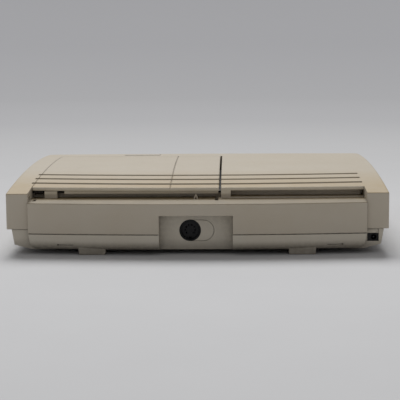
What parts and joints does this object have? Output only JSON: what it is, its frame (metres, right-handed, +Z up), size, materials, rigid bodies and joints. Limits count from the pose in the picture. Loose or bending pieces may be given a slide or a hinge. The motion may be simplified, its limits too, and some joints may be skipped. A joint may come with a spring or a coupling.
{
  "type": "video game console",
  "caption": "Cream disc-based home video game console with hinged disc lid, card slot, controller socket, rear AV socket and DC inlet.",
  "frame": {"origin": "on the surface it stands on, under the middle of the bounding box", "axes": "+X to the right seen from the front, +Y to the rear, +Z up; the front faces -Y"},
  "size_m": [0.2714, 0.232, 0.0527],
  "materials": {
    "cream_shell": "fine spark texture, slightly yellowed",
    "cream_gloss": "smooth moulded",
    "grey_inner": "fine texture",
    "white_acetal": "natural",
    "bare_steel": "drawn wire and turned parts",
    "zinc_sheet": "zinc plated",
    "black_plastic": "moulded",
    "chip_black": "moulded",
    "brass_contacts": "plated",
    "rubber": "soft",
    "lens_glass": "coated",
    "board_green": "solder mask",
    "capacitor_sleeve": "shrunk sleeve",
    "aluminium_sink": "extruded",
    "lamp_lens": "translucent"
  },
  "bodies": {
    "console": {"av_socket_contacts": "brass_contacts", "av_socket_housing": "black_plastic", "av_socket_insert": "black_plastic", "board_capacitors": "capacitor_sleeve", "board_chips": "chip_black", "board_screws": "bare_steel", "board_shield": "zinc_sheet", "bottom_case": "cream_shell", "card_connector": "black_plastic", "card_guide": "grey_inner", "case_screws": "bare_steel", "controller_socket_body": "black_plastic", "controller_socket_insert": "black_plastic", "dc_inlet_body": "black_plastic", "dc_inlet_pin": "brass_contacts", "deck_chassis": "zinc_sheet", "deck_grommets": "rubber", "deck_screws": "bare_steel", "disc_well": "grey_inner", "front_foot_pads": "rubber", "gear_post": "bare_steel", "heat_sink": "aluminium_sink", "lamp_board": "board_green", "lamp_lenses": "lamp_lens", "lid_hinge_clip": "bare_steel", "lid_hinge_pins": "bare_steel", "lid_spring": "bare_steel", "lid_switch_body": "black_plastic", "main_board": "board_green", "power_switch_body": "black_plastic", "sled_motor": "zinc_sheet", "sled_rails": "bare_steel", "spindle_motor": "zinc_sheet", "top_case": "cream_shell", "voltage_regulator": "chip_black"},
    "lid": {"disc_lid": "cream_shell", "lid_liner": "grey_inner", "clamp_retainer": "grey_inner", "lid_latch_hook": "black_plastic"},
    "clamp": {"disc_clamp": "white_acetal", "clamp_magnet": "bare_steel"},
    "turntable_body": {"turntable": "black_plastic", "turntable_pad": "rubber"},
    "sled": {"pickup_sled": "black_plastic", "sled_rack": "white_acetal"},
    "lens": {"lens_holder": "black_plastic", "pickup_lens": "lens_glass"},
    "idler": {"sled_gear": "white_acetal"},
    "pinion": {"sled_motor_pinion": "white_acetal"},
    "button": {"open_button": "cream_gloss"},
    "latch": {"latch_slider": "black_plastic"},
    "power_knob": {"power_switch_knob": "black_plastic"},
    "switch_plunger": {"lid_switch_plunger": "white_acetal"}
  },
  "joints": [
    {"name": "lid_hinge", "type": "hinge", "parent": "console", "child": "lid", "pos_m": [0.0521, 0.0856, 0.0419], "axis": [-1, 0, 0], "range_deg": [0, 60]},
    {"name": "clamp_spin", "type": "hinge", "parent": "lid", "child": "clamp", "pos_m": [0.0521, 0.012, 0.0441], "axis": [0, 0, 1], "continuous": true},
    {"name": "turntable_spin", "type": "hinge", "parent": "console", "child": "turntable_body", "pos_m": [0.0521, 0.012, 0.038], "axis": [0, 0, 1], "continuous": true},
    {"name": "sled_slide", "type": "slide", "parent": "console", "child": "sled", "axis": [0, -1, 0], "range_m": [0, 0.034]},
    {"name": "lens_focus", "type": "slide", "parent": "sled", "child": "lens", "axis": [0, 0, 1], "range_m": [-0.0005, 0.0005], "stiffness_N_per_m": 40},
    {"name": "idler_spin", "type": "hinge", "parent": "console", "child": "idler", "pos_m": [0.08405, -0.023, 0.0213], "axis": [0, 0, 1], "range_deg": [0, 270.57]},
    {"name": "pinion_spin", "type": "hinge", "parent": "console", "child": "pinion", "pos_m": [0.08405, -0.0128, 0.0213], "axis": [0, 0, 1], "range_deg": [-649.36, 0]},
    {"name": "button_press", "type": "slide", "parent": "console", "child": "button", "axis": [0, 0, -1], "range_m": [0, 0.0025], "stiffness_N_per_m": 300, "springref_m": -0.002},
    {"name": "latch_slide", "type": "slide", "parent": "console", "child": "latch", "axis": [0, 1, 0], "range_m": [0, 0.0025]},
    {"name": "power_slide", "type": "slide", "parent": "console", "child": "power_knob", "axis": [1, 0, 0], "range_m": [0, 0.008]},
    {"name": "plunger_press", "type": "slide", "parent": "console", "child": "switch_plunger", "axis": [0, 0, -1], "range_m": [0, 0.001], "stiffness_N_per_m": 100, "springref_m": -0.001}
  ],
  "couplings": [
    {"joint": "idler_spin", "follows": "sled_slide", "rad_per_m": 138.89},
    {"joint": "pinion_spin", "follows": "sled_slide", "rad_per_m": -333.33},
    {"joint": "latch_slide", "follows": "button_press", "ratio": 1}
  ]
}
